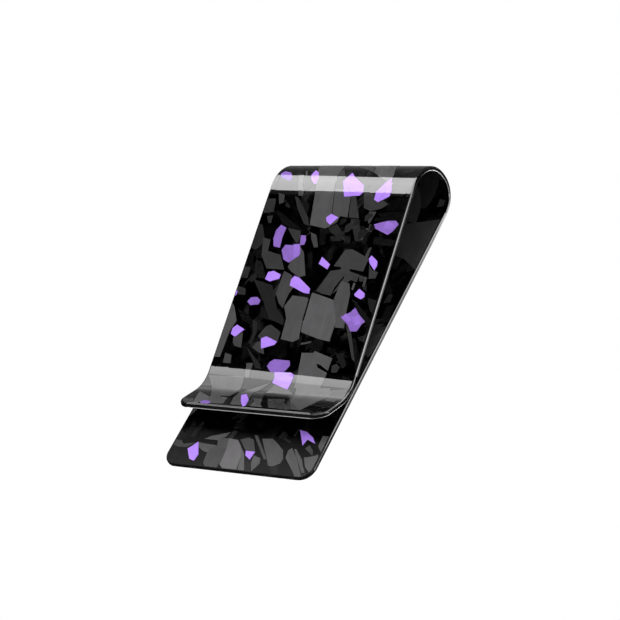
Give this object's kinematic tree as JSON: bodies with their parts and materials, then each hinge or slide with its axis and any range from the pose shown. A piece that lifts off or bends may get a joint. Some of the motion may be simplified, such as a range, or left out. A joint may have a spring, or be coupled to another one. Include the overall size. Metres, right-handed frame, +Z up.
{
  "type": "money clip",
  "caption": "Springy one-strip money clip: a flat back leg, a folded bow and a sloping front leg whose flared lip presses folded banknotes onto the back leg.",
  "frame": {"origin": "on the plane that the clip rests on, under the middle of the whole clip", "axes": "+X across the strip, +Y along the clip from the open lip end to the folded bow, +Z up from the back leg through the front leg"},
  "size_m": [0.025, 0.054, 0.0102],
  "materials": {
    "forged_carbon": "chopped carbon tow in black resin, moulded and polished",
    "clear_resin": "clear high-gloss resin skin",
    "purple_flake": "lustrous violet foil flake under the clear resin"
  },
  "bodies": {
    "back_leg": {"back_leg_core": "forged_carbon", "back_leg_outer_skin": "clear_resin", "back_leg_inner_skin": "clear_resin"},
    "lower_bow": {"lower_bow_core": "forged_carbon", "lower_bow_outer_skin": "clear_resin", "lower_bow_inner_skin": "clear_resin"},
    "middle_bow": {"middle_bow_core": "forged_carbon", "middle_bow_outer_skin": "clear_resin", "middle_bow_inner_skin": "clear_resin"},
    "upper_bow": {"upper_bow_core": "forged_carbon", "upper_bow_outer_skin": "clear_resin", "upper_bow_inner_skin": "clear_resin"},
    "front_leg": {"front_leg_core": "forged_carbon", "front_leg_outer_skin": "clear_resin", "front_leg_inner_skin": "clear_resin"}
  },
  "joints": [
    {"name": "lower_bow_flex", "type": "hinge", "parent": "back_leg", "child": "lower_bow", "pos_m": [0, 0.02507, 0.00094], "axis": [-1, 0, 0], "range_deg": [0, 3], "stiffness_Nm_per_rad": 0.02},
    {"name": "middle_bow_flex", "type": "hinge", "parent": "lower_bow", "child": "middle_bow", "pos_m": [0, 0.02658, 0.00456], "axis": [-1, 0, 0], "range_deg": [0, 3], "stiffness_Nm_per_rad": 0.02},
    {"name": "upper_bow_flex", "type": "hinge", "parent": "middle_bow", "child": "upper_bow", "pos_m": [0, 0.02477, 0.00818], "axis": [-1, 0, 0], "range_deg": [0, 3], "stiffness_Nm_per_rad": 0.02},
    {"name": "front_leg_flex", "type": "hinge", "parent": "upper_bow", "child": "front_leg", "pos_m": [0, 0.02107, 0.00983], "axis": [-1, 0, 0], "range_deg": [0, 3], "stiffness_Nm_per_rad": 0.02}
  ],
  "couplings": [
    {"joint": "lower_bow_flex", "follows": "front_leg_flex", "ratio": 1},
    {"joint": "middle_bow_flex", "follows": "front_leg_flex", "ratio": 1},
    {"joint": "upper_bow_flex", "follows": "front_leg_flex", "ratio": 1}
  ]
}
